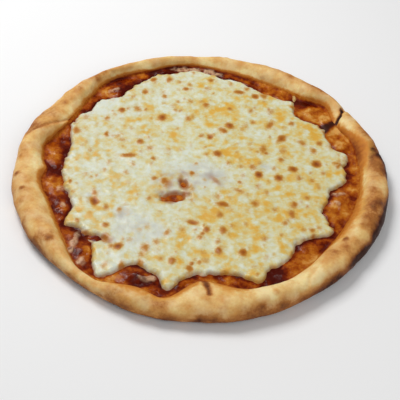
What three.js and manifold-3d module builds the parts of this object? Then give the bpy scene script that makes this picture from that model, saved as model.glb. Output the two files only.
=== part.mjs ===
// Margherita pizza, baked whole and uncut: a dough base with a puffed rim, a layer of tomato sauce that
// runs under the whole topping, and one melted sheet of mozzarella with a ragged edge and small windows.
// Millimetres, +Z up, origin at the middle of the flat underside. Bearings are in degrees from +X to +Y.
import * as THREE from 'three';
import { mergeVertices } from 'three/addons/utils/BufferGeometryUtils.js';
import Module from 'manifold-3d';

// Driving dimensions
const DIAMETER = 300; // across the rim
const RIM_HEIGHT = 17.6; // underside to the crest of the rim
const DOUGH_THICKNESS = 5; // under the sauce
const SAUCE_THICKNESS = 1.7;
const CHEESE_THICKNESS = 2.3;
const CLEARANCE = 0.3; // between one layer and the next
const WELL_RADIUS = 127.5; // dent in the dough that holds the sauce
const WELL_CENTRE = { x: -1, y: 5 };
const MELT_RADIUS = 118.5; // sheet of cheese
const MELT_CENTRE = { x: 0, y: 5 };
const NARROWEST_RIM = 9;

// How the rim's section is drawn between the well and the underside
const CREST_SHARE = 0.43; // crest from the outer edge, as a share of the rim's width
const SHOULDER_RISE = 1.4; // dough above the sauce where they meet
const BELLY_HEIGHT = 8.2; // height of the widest place
const LIP_STEEPNESS = 0.3; // inner slope of the rim: 0 leans back evenly, 1 stands upright at the sauce
const FOOT_INSET = 7; // from the widest place in to where the dough leaves the table
const SECTION = { inner: 0.4, outer: 0.78 }; // crest and widest place, as shares of the section
const RIM_LUMPS = [
  { size: 36, depth: 1.3 },
  { size: 15, depth: 0.7 },
];
const SAUCE_LUMPS = { size: 13, height: 1.7 };
const CHEESE_LUMPS = [
  { size: 27, depth: 0.6 },
  { size: 16, depth: 0.35 },
];

// Uneven places along each edge: { bearing, mm outward or upward, degrees over which it fades }
const OUTLINE = [
  { at: 0, by: 1.8, spread: 22 },
  { at: 112, by: -1, spread: 38 },
  { at: 194, by: 1.6, spread: 17 },
  { at: 228, by: -1.6, spread: 13 },
  { at: 269, by: 1.2, spread: 18 },
  { at: 316, by: -1.6, spread: 16 },
];
const CREST = [
  { at: 35, by: -2.2, spread: 3 },
  { at: 50, by: 1, spread: 7 },
  { at: 98, by: -2.8, spread: 11 },
  { at: 157, by: -1.2, spread: 4 },
  { at: 236, by: -4.2, spread: 12 },
  { at: 261, by: -3.4, spread: 6 },
  { at: 290, by: 1.4, spread: 18 },
  { at: 340, by: 1.6, spread: 16 },
];
const WELL = [
  { at: 0, by: 2, spread: 17 },
  { at: 21, by: 4, spread: 11 },
  { at: 41, by: 9.5, spread: 6 },
  { at: 68, by: -1.5, spread: 9 },
  { at: 100, by: 7.5, spread: 13 },
  { at: 126, by: 7, spread: 10.5 },
  { at: 155, by: -7, spread: 12.5 },
  { at: 171, by: 3, spread: 4 },
  { at: 184, by: -4.5, spread: 3.5 },
  { at: 203, by: -2, spread: 8 },
  { at: 237, by: 17, spread: 14.5 },
  { at: 261, by: 13, spread: 7 },
  { at: 273, by: -9, spread: 10 },
  { at: 297, by: 7, spread: 18 },
];
const MELT = [
  { at: 14, by: 8, spread: 4 },
  { at: 20, by: -5, spread: 8 },
  { at: 44, by: -11, spread: 8 },
  { at: 51, by: 9, spread: 2.8 },
  { at: 62, by: -4, spread: 9 },
  { at: 95, by: 9.5, spread: 11 },
  { at: 111, by: 7.5, spread: 5.5 },
  { at: 129, by: -6, spread: 4.5 },
  { at: 171, by: -8, spread: 9 },
  { at: 198, by: -9, spread: 16 },
  { at: 213, by: 8, spread: 4 },
  { at: 235, by: 13, spread: 5 },
  { at: 240, by: 17, spread: 4 },
  { at: 247, by: -4, spread: 5.5 },
  { at: 261, by: 13, spread: 3.8 },
  { at: 277, by: -4.5, spread: 10.5 },
  { at: 293, by: 8.5, spread: 4.5 },
  { at: 318, by: -9.5, spread: 8 },
  { at: 330, by: 5, spread: 4.5 },
  { at: 342, by: -14, spread: 8.5 },
  { at: 352, by: -8, spread: 5 },
];

// Windows where the cheese parted over the sauce, and shreds of cheese that melted apart from it
const WINDOWS = [
  { x: -20.5, y: -32, long: 8.5, wide: 5.2, turn: 10 },
  { x: -13.5, y: -15.5, long: 5, wide: 2.8, turn: 105 },
];
const SHREDS = [
  { x: -82.5, y: -104.5, long: 4.6, wide: 2.2, turn: 60 },
  { x: -106.5, y: -43.5, long: 3.6, wide: 1.9, turn: 100 },
  { x: 110, y: -20.5, long: 4, wide: 2, turn: 40 },
  { x: 108, y: -30, long: 4.4, wide: 2.2, turn: 120 },
];
const SHRED_HEIGHT = 1.5;
const UNEVEN = 0.14; // how far a window or a shred departs from an oval, as a share of its size

// Levels worked out from the thicknesses
const SAUCE_BOTTOM = DOUGH_THICKNESS + CLEARANCE;
const SAUCE_TOP = SAUCE_BOTTOM + SAUCE_THICKNESS;
const CHEESE_BOTTOM = SAUCE_TOP + CLEARANCE;
const CHEESE_TOP = CHEESE_BOTTOM + CHEESE_THICKNESS;

const BEARINGS = 144; // facets round the pizza
const SMALL_BEARINGS = 12; // facets round a window or a shred

const { degToRad, lerp, smoothstep } = THREE.MathUtils;

// Sum of the uneven places at a bearing.
function swell(places, bearing) {
  return places.reduce((sum, { at, by, spread }) => {
    const apart = THREE.MathUtils.euclideanModulo(bearing - at + 180, 360) - 180;
    return sum + by * Math.exp(-((apart / spread) ** 2));
  }, 0);
}

// Distance from the origin, along a bearing, to a circle about another centre.
function circleReach(radius, centre, bearing) {
  const angle = degToRad(bearing);
  return radius + centre.x * Math.cos(angle) + centre.y * Math.sin(angle);
}

// A hashed number for a lattice point, -1 to 1, the same every time.
function latticeValue(i, j, k) {
  const mixed = Math.imul(i, 374761393) ^ Math.imul(j, 668265263) ^ Math.imul(k, 461845907);
  const stirred = Math.imul(mixed ^ (mixed >>> 13), 1274126177);
  return ((stirred ^ (stirred >>> 16)) >>> 0) / 2 ** 31 - 1;
}

// Smooth noise between the lattice points, -1 to 1; a lump is about `size` across.
function lumps(point, size) {
  const [x, y, z] = [point.x / size, point.y / size, point.z / size];
  const [i, j, k] = [x, y, z].map(Math.floor);
  const [u, v, w] = [x - i, y - j, z - k].map((t) => t * t * (3 - 2 * t));
  const edge = (dj, dk) => lerp(latticeValue(i, j + dj, k + dk), latticeValue(i + 1, j + dj, k + dk), u);
  return lerp(lerp(edge(0, 0), edge(1, 0), v), lerp(edge(0, 1), edge(1, 1), v), w);
}

function lumpDepth(point, layers) {
  return layers.reduce((sum, { size, depth }) => sum + depth * lumps(point, size), 0);
}

function outerReach(bearing) {
  return DIAMETER / 2 - 0.4 + swell(OUTLINE, bearing);
}

function wellReach(bearing) {
  const free = circleReach(WELL_RADIUS, WELL_CENTRE, bearing) + swell(WELL, bearing);
  return Math.min(free, outerReach(bearing) - NARROWEST_RIM);
}

function sauceReach(bearing) {
  return wellReach(bearing) - 2 * CLEARANCE;
}

function meltReach(bearing) {
  const free = circleReach(MELT_RADIUS, MELT_CENTRE, bearing) + swell(MELT, bearing);
  return Math.min(free, sauceReach(bearing) - 1);
}

function polar(reach, bearing, height) {
  const angle = degToRad(bearing);
  return new THREE.Vector3(reach * Math.cos(angle), reach * Math.sin(angle), height);
}

// A point of the rim's surface. `along` runs from the edge of the well (0) over the crest and the
// widest place to the foot (1).
function rimPoint(bearing, along) {
  const well = wellReach(bearing);
  const outer = outerReach(bearing);
  const crest = outer - CREST_SHARE * (outer - well);
  const crestHeight = RIM_HEIGHT + swell(CREST, bearing);
  const shoulder = SAUCE_TOP + SHOULDER_RISE;
  let reach;
  let height;
  if (along <= SECTION.inner) {
    const turn = (Math.PI / 2) * (along / SECTION.inner);
    reach = lerp(well, crest, lerp(along / SECTION.inner, 1 - Math.cos(turn), LIP_STEEPNESS));
    height = lerp(shoulder, crestHeight, Math.sin(turn));
  } else if (along <= SECTION.outer) {
    const turn = (Math.PI / 2) * ((along - SECTION.inner) / (SECTION.outer - SECTION.inner));
    reach = lerp(crest, outer, Math.sin(turn));
    height = lerp(BELLY_HEIGHT, crestHeight, Math.cos(turn));
  } else {
    const turn = (Math.PI / 2) * ((along - SECTION.outer) / (1 - SECTION.outer));
    reach = outer - FOOT_INSET * (1 - Math.cos(turn));
    height = BELLY_HEIGHT * (1 - Math.sin(turn));
  }
  const smooth = polar(reach, bearing, height);
  const outward = polar(reach - crest, bearing, height - BELLY_HEIGHT).normalize();
  const fade = smoothstep(along, 0, 0.2) * (1 - smoothstep(along, 0.82, 1));
  return smooth.addScaledVector(outward, fade * lumpDepth(smooth, RIM_LUMPS));
}

// One point for each bearing.
function ring(pointAt, bearings = BEARINGS) {
  return Array.from({ length: bearings }, (_, n) => pointAt((360 * n) / bearings));
}

// Closed solid from rings that run outward under it and back over its top, with a point at each middle.
function shell(bottom, rings, top) {
  const count = rings[0].length;
  const points = [bottom, ...rings.flat(), top];
  const at = (row, n) => 1 + row * count + (n % count);
  const last = rings.length - 1;
  const index = [];
  for (let n = 0; n < count; n++) {
    index.push(0, at(0, n + 1), at(0, n));
    for (let row = 0; row < last; row++) {
      index.push(at(row, n), at(row, n + 1), at(row + 1, n + 1));
      index.push(at(row, n), at(row + 1, n + 1), at(row + 1, n));
    }
    index.push(points.length - 1, at(last, n), at(last, n + 1));
  }
  const geometry = new THREE.BufferGeometry().setFromPoints(points);
  geometry.setIndex(index);
  return geometry;
}

function crustGeometry() {
  const section = [1, 0.95, 0.87, 0.78, 0.7, 0.62, 0.54, 0.47, 0.4, 0.33, 0.26, 0.18, 0.09, 0];
  const bed = ring((bearing) => polar(wellReach(bearing) - CLEARANCE / 2, bearing, DOUGH_THICKNESS));
  const rim = section.map((along) => ring((bearing) => rimPoint(bearing, along)));
  const middle = new THREE.Vector3(0, 0, DOUGH_THICKNESS);
  return shell(new THREE.Vector3(), [...rim, bed], middle);
}

// Sauce that the cheese leaves bare is lumpy; `across` runs from the cheese (0) to the dough (1).
function bareSaucePoint(bearing, across) {
  const start = meltReach(bearing) + CLEARANCE;
  const point = polar(lerp(start, sauceReach(bearing), across), bearing, SAUCE_TOP);
  const room = Math.min(1, (sauceReach(bearing) - start) / SAUCE_LUMPS.size);
  const lump = 0.5 + 0.5 * lumps(point, SAUCE_LUMPS.size);
  point.z += SAUCE_LUMPS.height * room * lump * Math.sin(Math.PI * across);
  return point;
}

function sauceGeometry() {
  const under = ring((bearing) => polar(sauceReach(bearing), bearing, SAUCE_BOTTOM));
  const bare = [1, 0.78, 0.56, 0.34, 0.14, 0].map((across) =>
    ring((bearing) => bareSaucePoint(bearing, across)),
  );
  const middle = (height) => new THREE.Vector3(0, 0, height);
  return shell(middle(SAUCE_BOTTOM), [under, ...bare], middle(SAUCE_TOP));
}

// Top of the cheese: `inward` is the share of the way from its edge to the middle.
function cheesePoint(bearing, inward) {
  const reach = meltReach(bearing) * (1 - inward);
  const fromEdge = meltReach(bearing) - reach;
  const rounded = Math.sqrt(smoothstep(fromEdge, -1.2, 5));
  const point = polar(reach, bearing, lerp(CHEESE_BOTTOM + 0.6, CHEESE_TOP, rounded));
  point.z += smoothstep(fromEdge, 0, 6) * lumpDepth(point, CHEESE_LUMPS);
  return point;
}

function cheeseGeometry() {
  const under = ring((bearing) => polar(meltReach(bearing) - 0.7, bearing, CHEESE_BOTTOM));
  const over = [0, 0.02, 0.055, 0.1, 0.18, 0.27, 0.37, 0.48, 0.6, 0.74, 0.88].map((inward) =>
    ring((bearing) => cheesePoint(bearing, inward)),
  );
  const middle = new THREE.Vector3(0, 0, CHEESE_BOTTOM);
  return shell(middle, [under, ...over], cheesePoint(0, 1));
}

// Uneven oval plug from one level to another, its upper end grown or shrunk by `taper` and domed by `dome`.
function blob({ x, y, long, wide, turn }, low, high, taper, dome) {
  const oval = (share, height) =>
    ring((bearing) => {
      const uneven = 1 + UNEVEN * Math.sin(degToRad(3 * bearing + 5 * x));
      const point = polar(share * uneven, bearing, height);
      return point.multiply(new THREE.Vector3(long, wide, 1));
    }, SMALL_BEARINGS);
  const rings = [oval(1, low), oval(taper, high)];
  const geometry = shell(new THREE.Vector3(0, 0, low), rings, new THREE.Vector3(0, 0, high + dome));
  return geometry.rotateZ(degToRad(turn)).translate(x, y, 0);
}

const wasm = await Module();
wasm.setup();

function toSolid(geometry) {
  const merged = mergeVertices(geometry);
  const vertProperties = merged.attributes.position.array;
  const triVerts = new Uint32Array(merged.index.array);
  return new wasm.Manifold(new wasm.Mesh({ numProp: 3, vertProperties, triVerts }));
}

function toGeometry(solid) {
  const mesh = solid.getMesh();
  return new THREE.BufferGeometry()
    .setAttribute('position', new THREE.BufferAttribute(mesh.vertProperties, 3))
    .setIndex(new THREE.BufferAttribute(mesh.triVerts, 1));
}

function sauceWithShreds() {
  const low = SAUCE_TOP - 0.6;
  return SHREDS.reduce((sauce, place) => {
    const shred = blob(place, low, SAUCE_TOP + 0.6 * SHRED_HEIGHT, 0.75, 0.4 * SHRED_HEIGHT);
    return sauce.add(toSolid(shred));
  }, toSolid(sauceGeometry()));
}

function cheeseWithWindows() {
  const low = CHEESE_BOTTOM - 1;
  const high = CHEESE_TOP + 3;
  return WINDOWS.reduce((cheese, place) => {
    const plug = blob(place, low, high, 1.3, 0);
    return cheese.subtract(toSolid(plug));
  }, toSolid(cheeseGeometry()));
}

function named(name, geometry, color, roughness) {
  const material = new THREE.MeshStandardMaterial({ color, roughness, metalness: 0 });
  geometry.computeVertexNormals();
  const mesh = new THREE.Mesh(geometry, material);
  mesh.name = name;
  return mesh;
}

const pizza = new THREE.Group();
pizza.add(named('crust', crustGeometry(), 0xd2a56c, 0.75));
pizza.add(named('sauce', toGeometry(sauceWithShreds()), 0x8e2b12, 0.35));
pizza.add(named('cheese', toGeometry(cheeseWithWindows()), 0xe6dfb8, 0.45));

export default pizza;
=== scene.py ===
"""Margherita pizza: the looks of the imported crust, sauce and cheese, as in a product photo.

The shapes are worked out in millimetres from the same sizes as the CAD part, at a finer pitch, and
become metres when a mesh is made. Bearings are in degrees from +X to +Y.
"""
import math

import bmesh
import bpy
import numpy as np
from mathutils import Matrix, Vector


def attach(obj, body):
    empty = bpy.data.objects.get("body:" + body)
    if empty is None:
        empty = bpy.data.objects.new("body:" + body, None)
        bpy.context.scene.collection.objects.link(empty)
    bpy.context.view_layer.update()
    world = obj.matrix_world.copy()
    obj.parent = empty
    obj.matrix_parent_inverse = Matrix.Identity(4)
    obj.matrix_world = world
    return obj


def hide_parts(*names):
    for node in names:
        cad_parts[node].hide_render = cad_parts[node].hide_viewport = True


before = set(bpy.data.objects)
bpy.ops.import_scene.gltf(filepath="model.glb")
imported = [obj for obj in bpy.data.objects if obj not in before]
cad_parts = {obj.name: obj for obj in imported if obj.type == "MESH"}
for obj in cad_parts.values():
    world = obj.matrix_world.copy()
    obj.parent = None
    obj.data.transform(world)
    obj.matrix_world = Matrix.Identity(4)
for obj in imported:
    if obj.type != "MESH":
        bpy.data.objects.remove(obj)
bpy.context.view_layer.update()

MM = 0.001
TILT = np.array([[0.36, 0.48, -0.8], [-0.8, 0.6, 0.0], [0.48, 0.64, 0.6]])  # turns noise off the axes
FAR = 1000.0  # mm, past any gap on the pizza

# ---------------------------------------------------------------------------------------------------
# Driving dimensions, mm, the same as the CAD part's wherever it has them
# ---------------------------------------------------------------------------------------------------
DIAMETER = 300
RIM_HEIGHT = 17.6
DOUGH_THICKNESS = 5
SAUCE_THICKNESS = 1.7
CHEESE_THICKNESS = 2.3
CLEARANCE = 0.3
WELL_RADIUS, WELL_CENTRE = 127.5, (-1, 5)
MELT_RADIUS, MELT_CENTRE = 118.5, (0, 5)
NARROWEST_RIM = 9
NARROWEST_SAUCE = 1  # between the cheese and the rim
OUTLINE_ALLOWANCE = 0.4  # off the radius, for what the uneven places add to it
CREST_SHARE = 0.43
SHOULDER_RISE = 1.4
BELLY_HEIGHT = 8.2
LIP_STEEPNESS = 0.3
FOOT_INSET = 7
INNER_END, OUTER_END = 0.4, 0.78  # crest and widest place, as shares of the rim's section
SAUCE_LUMPS = (13, 1.7)  # size, height
FILLET, FILLET_CURVE = 7, 2.2  # width over which the sauce turns up to the rim, and how late

# Uneven places along each edge: bearing, mm outward or upward, degrees over which it fades
OUTLINE = [
    (0, 1.8, 22), (112, -1, 38), (194, 1.6, 17), (228, -1.6, 13), (269, 1.2, 18), (316, -1.6, 16),
]
CREST = [
    (35, -2.2, 3), (50, 1, 7), (98, -2.8, 11), (157, -1.2, 4),
    (236, -4.2, 12), (261, -3.4, 6), (290, 1.4, 18), (340, 1.6, 16),
]
WELL = [
    (0, 2, 17), (21, 4, 11), (41, 9.5, 6), (68, -1.5, 9), (100, 7.5, 13), (126, 7, 10.5),
    (155, -7, 12.5), (171, 3, 4), (184, -4.5, 3.5), (203, -2, 8), (237, 17, 14.5), (261, 13, 7),
    (273, -9, 10), (297, 7, 18),
]
MELT = [
    (14, 8, 4), (20, -5, 8), (44, -11, 8), (51, 9, 2.8), (62, -4, 9), (95, 9.5, 11), (111, 7.5, 5.5),
    (129, -6, 4.5), (171, -8, 9), (198, -9, 16), (213, 8, 4), (235, 13, 5), (240, 17, 4),
    (247, -4, 5.5), (261, 13, 3.8), (277, -4.5, 10.5), (293, 8.5, 4.5), (318, -9.5, 8), (330, 5, 4.5),
    (342, -14, 8.5), (352, -8, 5),
]

# Relief, here and below: size of a lump across and its depth
RIM_RELIEF = [(36, 1.3), (16, 0.75), (8, 0.45), (3.4, 0.15)]
SAUCE_RELIEF = [(9, 0.9), (4.6, 0.5), (2.3, 0.15)]
CHEESE_RELIEF = [(27, 0.6), (14, 0.35), (6, 0.2), (3, 0.1)]
EDGE_WANDER = [(12, 1.7), (6, 1.6), (3, 1.2)]  # of the sheet of cheese
SHRED_WANDER = [(5, 0.9), (2.6, 0.7)]
SMEAR_WANDER = [(4, 1.6), (2, 0.8)]
CREASE_WANDER = [(9, 0.9), (4, 0.45)]

# Creases of the rim: nodes of bearing and place along the section, half width, depth, how toasted
CREASES = [
    ([(30.6, -0.1), (31.8, 0.1), (32.3, 0.26), (34, 0.47), (34.8, 0.6)], 1.7, 3, 1.05),
    ([(154, 0.02), (163.5, 0.26), (168.8, 0.43), (171.5, 0.56)], 1.4, 0.7, 0.42),
    ([(273.6, -0.05), (274.2, 0.2), (274.8, 0.38)], 3.5, 0.6, 0.7),
    ([(128, 0.3), (131, 0.45), (136, 0.55)], 2, 0.6, 0.15),
    ([(240, 0.5), (246, 0.44), (252, 0.47)], 2.2, 0.5, 0.1),
    ([(310, 0.3), (306, 0.42), (304, 0.56)], 2, 0.6, 0.15),
]
# Pads of dough that start sharply at a crease and sink away from it: crease, rise, degrees it takes
PADS = [(1, 1.1, 14), (0, -0.9, 7)]

# Windows in the cheese and the notch under its left tip, as ovals: x, y, half length, half width, turn
WINDOWS = [(-20.5, -32, 7, 3.4, 10), (-13.5, -15.5, 3, 1.4, 105), (-81, -78.5, 6.5, 1.7, -10)]
# A loose shred of cheese, and how fast it thickens from its edge next to the sheet
SHREDS, SHRED_STEEPNESS = [(79, 101, 7, 1.6, 85)], 0.6
# Shreds that melted into the bare sauce, and how far they stand up; their milky colour also stands for
# painted highlights on the wet sauce
SMEARS_AND_HIGHLIGHTS = [
    (-84, -103, 3.4, 2.4, 60), (-92, -86, 8, 1.4, 78), (-105, -46, 3.4, 1.8, 100),
    (110, -18, 3.6, 1.6, 20), (108, -28, 2.8, 1.8, 120), (-110, -28, 3, 2, 80), (-79, 99, 3, 1.4, 30),
    (-34, -116, 4, 1.6, 10), (-14, 133.5, 11, 3, 2), (4, 132, 7, 2.4, 165),
]
SMEAR_RISE = 0.8

# Pieces of tomato under the bare sauce: x, y, radius, rise
MOUNDS = [
    (110, -23, 9, 1.8), (-76, 106, 9, 1.2), (-46, -112, 8, 1), (96, 83, 9, 1), (86, -78, 8, 1),
    (117, 43, 7, 0.8),
]

SAUCE_BOTTOM = DOUGH_THICKNESS + CLEARANCE
SAUCE_TOP = SAUCE_BOTTOM + SAUCE_THICKNESS
CHEESE_TOP = SAUCE_TOP + CLEARANCE + CHEESE_THICKNESS
SHOULDER = SAUCE_TOP + SHOULDER_RISE

rng = np.random.default_rng(seed=12)


# ---------------------------------------------------------------------------------------------------
# Shape functions; arrays in, arrays out
# ---------------------------------------------------------------------------------------------------
def smoothstep(value, low, high):
    t = np.clip((value - low) / (high - low), 0, 1)
    return t * t * (3 - 2 * t)


def lerp(a, b, t):
    return a + (b - a) * t


def bell(distance, width=1.0, power=2):
    """1 at no distance, falling off past the width, more suddenly for a higher power."""
    return np.exp(-((np.abs(distance) / width) ** power))


def swell(places, bearing):
    """Sum of the uneven places at each bearing."""
    total = np.zeros(np.shape(bearing))
    for at, by, spread in places:
        apart = (bearing - at + 180) % 360 - 180
        total += by * bell(apart, spread)
    return total


def lattice_value(i, j, k):
    """A hashed number for each lattice point, -1 to 1, the same every time."""
    def spread(index, factor):
        return (index & 0xFFFFFFFF).astype(np.uint32) * np.uint32(factor)

    mixed = spread(i, 374761393) ^ spread(j, 668265263) ^ spread(k, 461845907)
    stirred = (mixed ^ (mixed >> np.uint32(13))) * np.uint32(1274126177)
    return (stirred ^ (stirred >> np.uint32(16))) / 2.0**31 - 1


def lumps(points, size):
    """Smooth noise, -1 to 1; a lump is about `size` across."""
    scaled = np.asarray(points) / size
    whole = np.floor(scaled).astype(np.int64)
    part = scaled - whole
    u, v, w = np.moveaxis(part * part * (3 - 2 * part), -1, 0)
    i, j, k = np.moveaxis(whole, -1, 0)

    def edge(dj, dk):
        return lerp(lattice_value(i, j + dj, k + dk), lattice_value(i + 1, j + dj, k + dk), u)

    return lerp(lerp(edge(0, 0), edge(1, 0), v), lerp(edge(0, 1), edge(1, 1), v), w)


def relief(points, layers):
    """Fine noise in layers of lump size and depth."""
    turned = np.asarray(points) @ TILT
    return sum(depth * lumps(turned, size) for size, depth in layers)


def flat(x, y, z=0.0):
    return np.stack(np.broadcast_arrays(x, y, z), -1).astype(float)


def polar(reach, bearing, height):
    angle = np.radians(bearing)
    return flat(reach * np.cos(angle), reach * np.sin(angle), height)


def bearing_and_reach(points):
    x, y = points[..., 0], points[..., 1]
    return np.degrees(np.arctan2(y, x)) % 360, np.hypot(x, y)


def levelled(points):
    """The same places at height 0, where ovals and noise are read."""
    return points * (1, 1, 0)


def circle_reach(radius, centre, bearing):
    angle = np.radians(bearing)
    return radius + centre[0] * np.cos(angle) + centre[1] * np.sin(angle)


def outer_reach(bearing):
    return DIAMETER / 2 - OUTLINE_ALLOWANCE + swell(OUTLINE, bearing)


def well_reach(bearing):
    free = circle_reach(WELL_RADIUS, WELL_CENTRE, bearing) + swell(WELL, bearing)
    return np.minimum(free, outer_reach(bearing) - NARROWEST_RIM)


def sauce_reach(bearing):
    return well_reach(bearing) - 2 * CLEARANCE


def melt_reach(bearing):
    free = circle_reach(MELT_RADIUS, MELT_CENTRE, bearing) + swell(MELT, bearing)
    return np.minimum(free, sauce_reach(bearing) - NARROWEST_SAUCE)


def rim_surface(bearing, along):
    """Points of the smooth rim, and the direction out of the dough.

    `along` runs from the well (0) over the crest and the widest place to the foot (1).
    """
    well, outer = well_reach(bearing), outer_reach(bearing)
    crest = outer - CREST_SHARE * (outer - well)
    top = RIM_HEIGHT + swell(CREST, bearing)
    quarter = np.pi / 2
    up = np.clip(along / INNER_END, 0, 1)
    over = np.clip((along - INNER_END) / (OUTER_END - INNER_END), 0, 1) * quarter
    under = np.clip((along - OUTER_END) / (1 - OUTER_END), 0, 1) * quarter
    leaning = lerp(up, 1 - np.cos(up * quarter), LIP_STEEPNESS)
    reach = lerp(well, crest, leaning) + (outer - crest) * np.sin(over)
    reach = reach - FOOT_INSET * (1 - np.cos(under))
    height = lerp(SHOULDER, top, np.sin(up * quarter))
    height = np.where(along > INNER_END, lerp(BELLY_HEIGHT, top, np.cos(over)), height)
    height = np.where(along > OUTER_END, BELLY_HEIGHT * (1 - np.sin(under)), height)
    out = polar(reach - crest, bearing, height - BELLY_HEIGHT)
    return polar(reach, bearing, height), out / np.linalg.norm(out, axis=-1, keepdims=True)


def path_gap(points, path):
    """Distance to a crease of the rim, mm."""
    bearing, along = np.array(path, float).T
    nodes = rim_surface(bearing, along)[0]
    gap = np.full(points.shape[:-1], FAR)
    for start, end in zip(nodes, nodes[1:]):
        run = end - start
        share = np.clip((points - start) @ run / (run @ run), 0, 1)
        gap = np.minimum(gap, np.linalg.norm(points - start - share[..., None] * run, axis=-1))
    return gap


def rim_skin(bearing, along):
    """The baked rim: its points, the direction out of the dough, and how toasted its creases are."""
    smooth, out = rim_surface(bearing, along)
    rise = smoothstep(along, 0, 0.2) * (1 - smoothstep(along, 0.82, 1)) * relief(smooth, RIM_RELIEF)
    wander = relief(smooth, CREASE_WANDER)
    burnt = np.zeros(np.shape(rise))
    for path, width, depth, brown in CREASES:
        close = bell(path_gap(smooth, path) + wander, width, 2.4)
        rise = rise - depth * close * smoothstep(along, -0.02, 0.1)
        burnt = np.maximum(burnt, brown * close)
    inner_slope = smoothstep(along, 0, 0.12) * (1 - smoothstep(along, 0.45, 0.75))
    for crease, height, degrees in PADS:
        at, place = np.array(CREASES[crease][0], float).T
        beyond = bearing - np.interp(along, place, at) + 0.4 * wander
        sinking = np.exp(-np.clip(beyond, 0, None) / degrees) * smoothstep(beyond, 0, 1.8)
        rise = rise + height * sinking * inner_slope
    return smooth + out * rise[..., None], out, burnt


def freckles(points, pitch, layer, radius, stretch):
    """Soft oval freckles, one to each cell of a jittered net: 0 between them, 1 in the strongest."""
    jitter, unlike = 0.45, 0.3  # how far each strays in its cell, and how unlike their sizes are
    cell = np.floor(points[..., :2] / pitch).astype(np.int64)
    strongest = np.zeros(points.shape[:-1])
    for beside in np.ndindex(3, 3):
        i, j = np.moveaxis(cell + beside - 1, -1, 0)
        hashed = (lattice_value(i, j, np.full_like(i, layer + n)) for n in range(5))
        shift_x, shift_y, size, strength, turn = hashed
        dx = points[..., 0] - pitch * (i + 0.5 + jitter * shift_x)
        dy = points[..., 1] - pitch * (j + 0.5 + jitter * shift_y)
        c, s = np.cos(np.pi * turn), np.sin(np.pi * turn)
        away = np.hypot((dx * c + dy * s) / stretch, dy * c - dx * s)
        fading = bell(away, radius * (1 + unlike * size))
        strongest = np.maximum(strongest, (0.5 + 0.5 * strength) * fading)
    return strongest


def oval_distance(points, x, y, stretch=1.0, turn=0.0):
    """Distance from (x, y), measured short along the direction of the turn by the stretch."""
    c, s = math.cos(math.radians(turn)), math.sin(math.radians(turn))
    dx, dy = points[..., 0] - x, points[..., 1] - y
    return np.hypot((dx * c + dy * s) / stretch, dy * c - dx * s)


def oval_bell(points, x, y, half_long, half_wide, turn):
    return bell(oval_distance(points, x, y, half_long / half_wide, turn), half_wide)


def oval_gap(points, ovals):
    """Rough distance outside the nearest oval, mm; negative inside it."""
    gap = np.full(points.shape[:-1], FAR)
    for x, y, half_long, half_wide, turn in ovals:
        distance = oval_distance(points, x, y, half_long / half_wide, turn)
        gap = np.minimum(gap, distance - half_wide)
    return gap


def cover(points):
    """How far inside the edge of the cheese a point lies, mm; negative where the sauce is bare."""
    bearing, reach = bearing_and_reach(points)
    level = levelled(points)
    sheet = np.minimum(melt_reach(bearing) - reach, oval_gap(level, WINDOWS))
    sheet = sheet + relief(level, EDGE_WANDER)
    sheet = np.minimum(sheet, sauce_reach(bearing) - reach - NARROWEST_SAUCE / 2)
    shred = relief(level, SHRED_WANDER) - oval_gap(level, SHREDS)
    return np.maximum(sheet, SHRED_STEEPNESS * shred)


def edge_distance(points):
    """As cover, but measured square to the edge, also where that cuts across the disc."""
    step = 1.5
    inside = cover(points)
    along_x = cover(points + (step, 0, 0)) - inside
    along_y = cover(points + (0, step, 0)) - inside
    slope = np.hypot(along_x, along_y) / step
    return inside / np.maximum(slope, 1)


def smear_and_highlight_mask(points):
    """1 within a smear of melted cheese, 0 on clear sauce; the smears also carry painted highlights."""
    level = levelled(points)
    return 1 - smoothstep(oval_gap(level, SMEARS_AND_HIGHLIGHTS) + relief(level, SMEAR_WANDER), -1, 1.5)


def sauce_height(points):
    """Top of the sauce at each place within the well: flat under the cheese, lumpy where it is bare."""
    bearing, reach = bearing_and_reach(points)
    start, end = melt_reach(bearing), sauce_reach(bearing)
    across = np.clip((reach - start) / (end - start), 0, 1)
    size, height = SAUCE_LUMPS
    room = np.minimum(1, (end - start) / size)
    level = levelled(points) + (0, 0, SAUCE_TOP)
    lump = height * room * (0.5 + 0.5 * lumps(level, size)) * np.sin(np.pi * across)
    for x, y, radius, rise in MOUNDS:
        lump = lump + rise * bell(oval_distance(points, x, y), radius, 3)
    lump = lump + SMEAR_RISE * smear_and_highlight_mask(points)
    bare = smoothstep(-cover(points), -0.5, 2)
    meet = np.clip((reach - end + FILLET) / (FILLET + 2 * CLEARANCE), 0, 1) ** FILLET_CURVE
    return lerp(SAUCE_TOP + lump, SHOULDER, meet) + bare * relief(level, SAUCE_RELIEF)


# ---------------------------------------------------------------------------------------------------
# Meshes
# ---------------------------------------------------------------------------------------------------
def shell(bottom, rings, top):
    """Closed surface from rings that run outward below and back in over the top."""
    rows, count = rings.shape[:2]
    points = np.vstack([bottom, rings.reshape(-1, 3), top])
    here = 1 + np.arange(rows)[:, None] * count + np.arange(count)
    beside = np.roll(here, -1, axis=1)
    quads = np.stack([here[:-1], beside[:-1], beside[1:], here[1:]], -1).reshape(-1, 4)
    under = np.stack([np.zeros(count, int), beside[0], here[0]], -1)
    over = np.stack([np.full(count, len(points) - 1), here[-1], beside[-1]], -1)
    return points, quads, np.vstack([under, over])


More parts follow.
